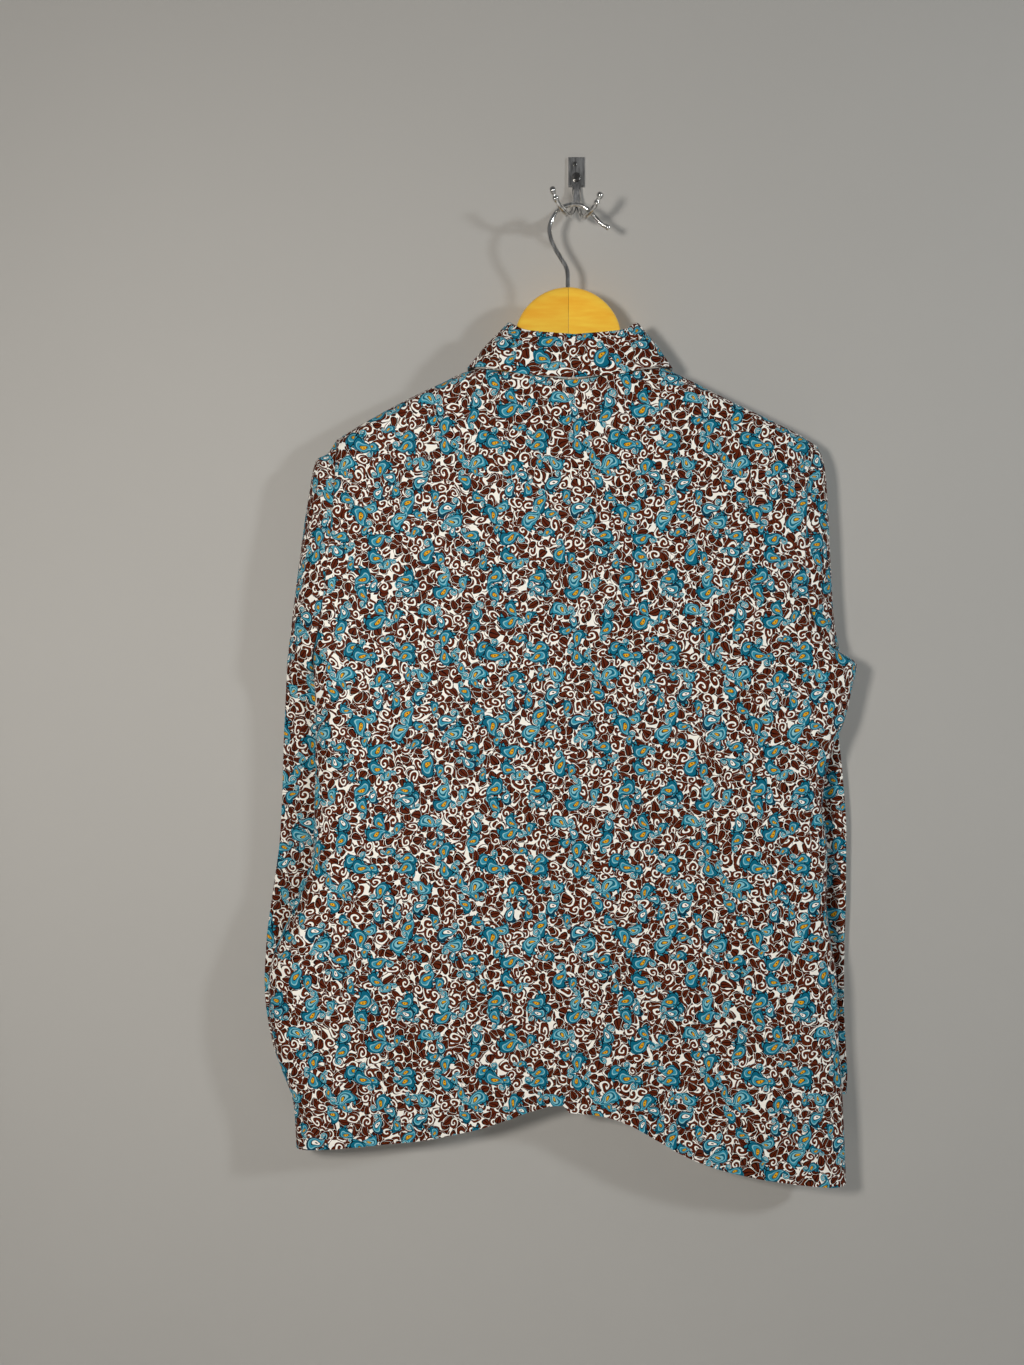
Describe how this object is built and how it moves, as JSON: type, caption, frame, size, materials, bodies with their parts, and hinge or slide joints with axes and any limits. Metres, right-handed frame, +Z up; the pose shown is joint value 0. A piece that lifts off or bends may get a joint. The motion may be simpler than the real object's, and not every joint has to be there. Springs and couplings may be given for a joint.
{
  "type": "long-sleeve shirt on a hanger and wall hook",
  "caption": "Printed long-sleeve button shirt, seen from its back, on a wooden hanger whose wire hook hangs on a two-prong wall hook.",
  "frame": {"origin": "centre of the back face of the wall hook's plate, on the wall", "axes": "+Z up; +Y into the wall; the viewer is on the -Y side and sees the shirt's back; +X is the viewer's right"},
  "size_m": [0.5729, 0.0643, 0.9974],
  "materials": {
    "printed_cloth": "thin printed polyester, slight sheen",
    "wood": "clear varnish",
    "chrome": "polished",
    "screw_steel": "worn",
    "button": "polished"
  },
  "bodies": {
    "root": {"back": "printed_cloth", "front_left": "printed_cloth", "front_right": "printed_cloth", "collar_stand": "printed_cloth", "collar_fall": "printed_cloth", "sleeve_left": "printed_cloth", "sleeve_right": "printed_cloth", "cuff_left": "printed_cloth", "cuff_right": "printed_cloth", "hanger_arm_left": "wood", "hanger_arm_right": "wood", "hanger_hook": "chrome", "wall_hook": "chrome", "wall_screw_upper": "screw_steel", "wall_screw_lower": "screw_steel", "button_1": "button", "button_2": "button", "button_3": "button", "button_4": "button", "button_5": "button", "button_6": "button", "button_cuff_left": "button", "button_cuff_right": "button"}
  },
  "joints": []
}
